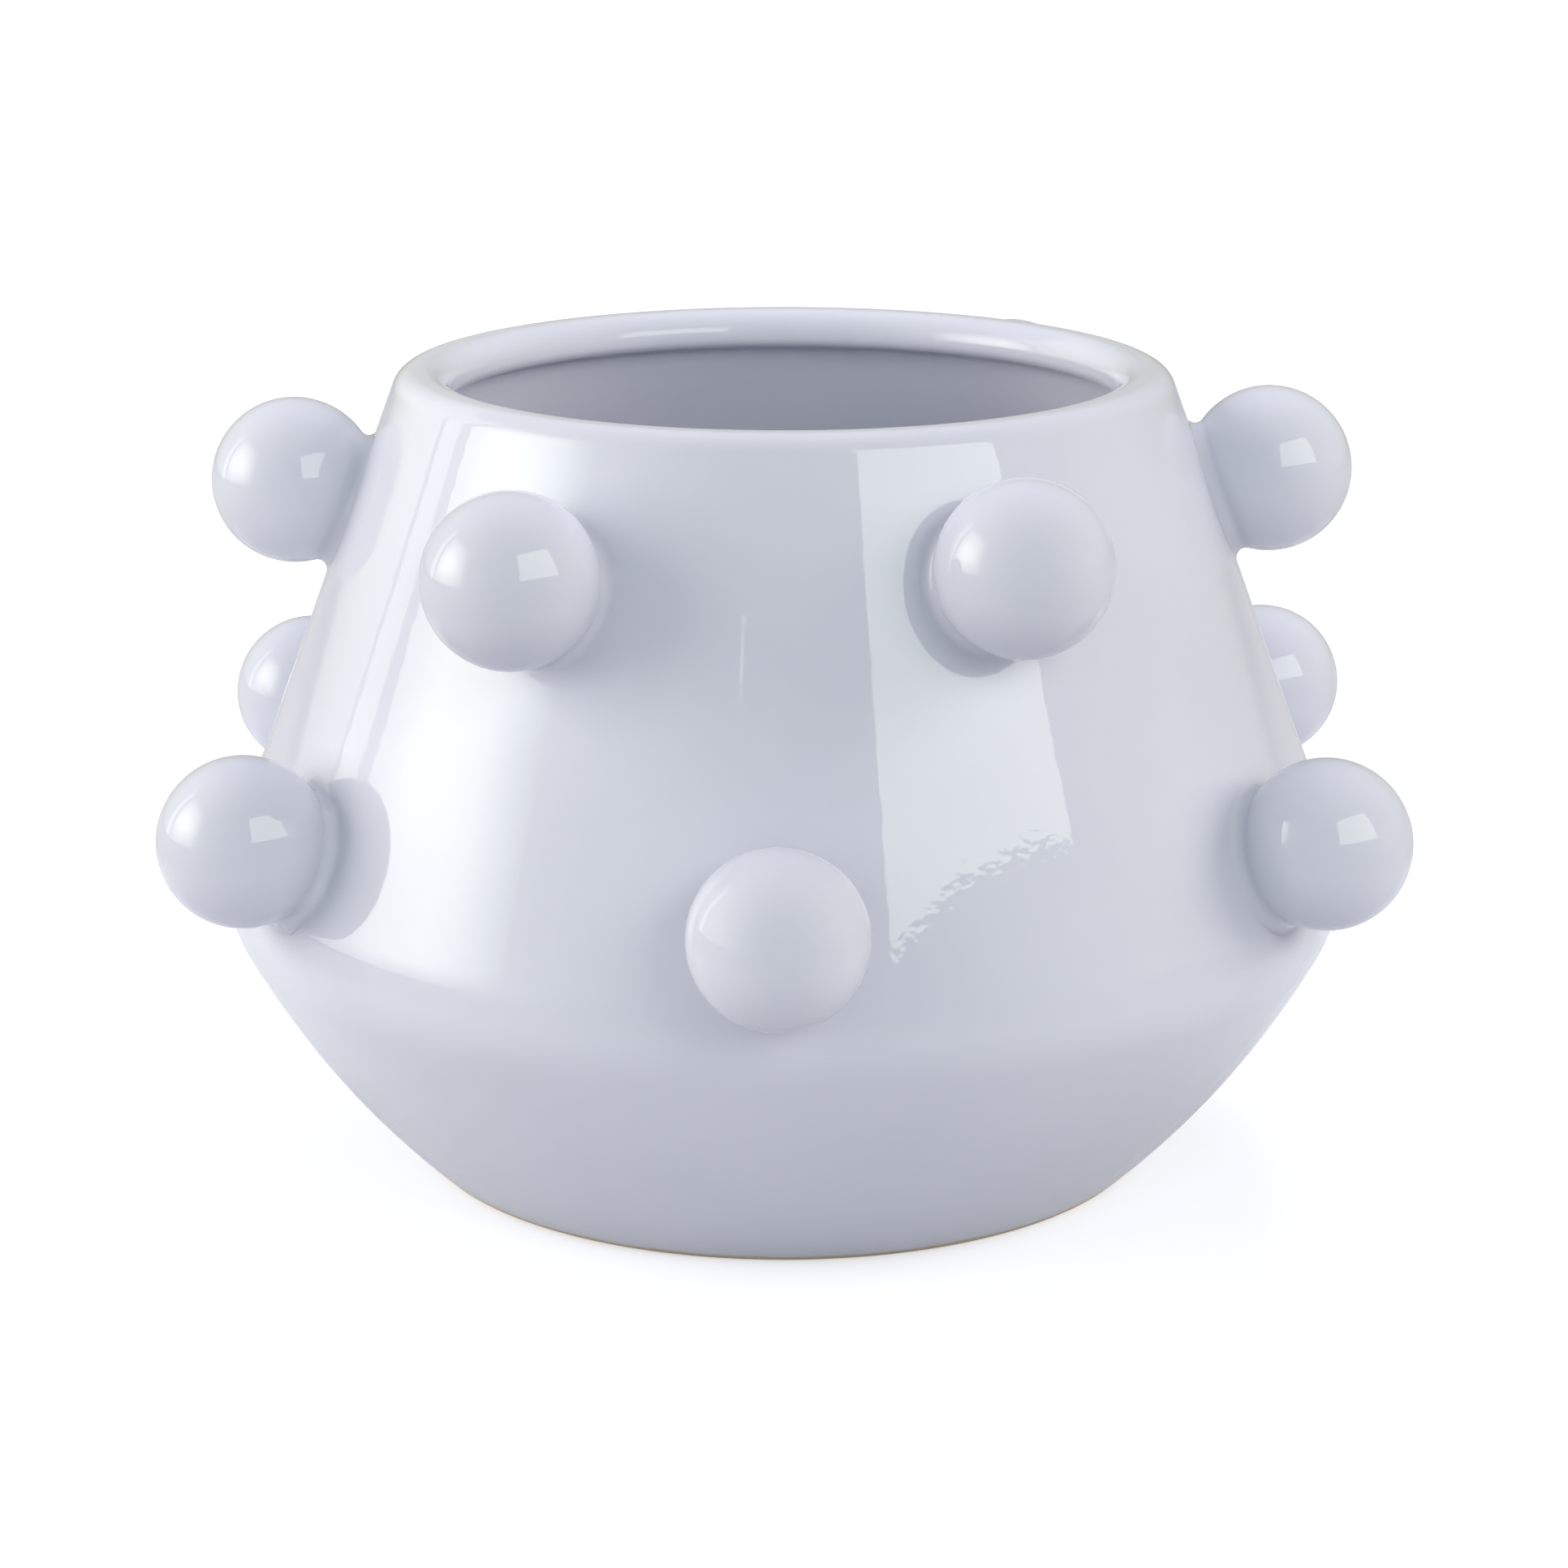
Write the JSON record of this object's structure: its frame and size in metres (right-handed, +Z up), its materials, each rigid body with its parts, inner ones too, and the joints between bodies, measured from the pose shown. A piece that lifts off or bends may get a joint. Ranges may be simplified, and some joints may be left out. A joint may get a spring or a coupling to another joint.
{
  "type": "planter",
  "caption": "Round glazed stoneware plant pot with a curved bowl, an inward-leaning wall, a rolled lip and hollow balls set on the wall in two staggered rings.",
  "frame": {"origin": "middle of the foot, on the surface that the pot stands on", "axes": "+Z up along the pot's axis, -Y to the front, where one lower ball faces the viewer, +X to the viewer's right"},
  "size_m": [0.2003, 0.228, 0.135],
  "materials": {
    "pot_glaze": "gloss glaze, pale cool grey-lavender, bare tan clay under the foot",
    "ball_glaze": "gloss glaze, pale cool grey-lavender",
    "slip_glaze": "gloss glaze pooled in the hollow round each ball"
  },
  "bodies": {
    "root": {"pot_body": "pot_glaze", "ball_upper_1": "ball_glaze", "ball_upper_2": "ball_glaze", "ball_upper_3": "ball_glaze", "ball_upper_4": "ball_glaze", "ball_upper_5": "ball_glaze", "ball_upper_6": "ball_glaze", "ball_lower_1": "ball_glaze", "ball_lower_2": "ball_glaze", "ball_lower_3": "ball_glaze", "ball_lower_4": "ball_glaze", "ball_lower_5": "ball_glaze", "ball_lower_6": "ball_glaze", "slip_joint_upper_1": "slip_glaze", "slip_joint_upper_2": "slip_glaze", "slip_joint_upper_3": "slip_glaze", "slip_joint_upper_4": "slip_glaze", "slip_joint_upper_5": "slip_glaze", "slip_joint_upper_6": "slip_glaze", "slip_joint_lower_1": "slip_glaze", "slip_joint_lower_2": "slip_glaze", "slip_joint_lower_3": "slip_glaze", "slip_joint_lower_4": "slip_glaze", "slip_joint_lower_5": "slip_glaze", "slip_joint_lower_6": "slip_glaze"}
  },
  "joints": []
}
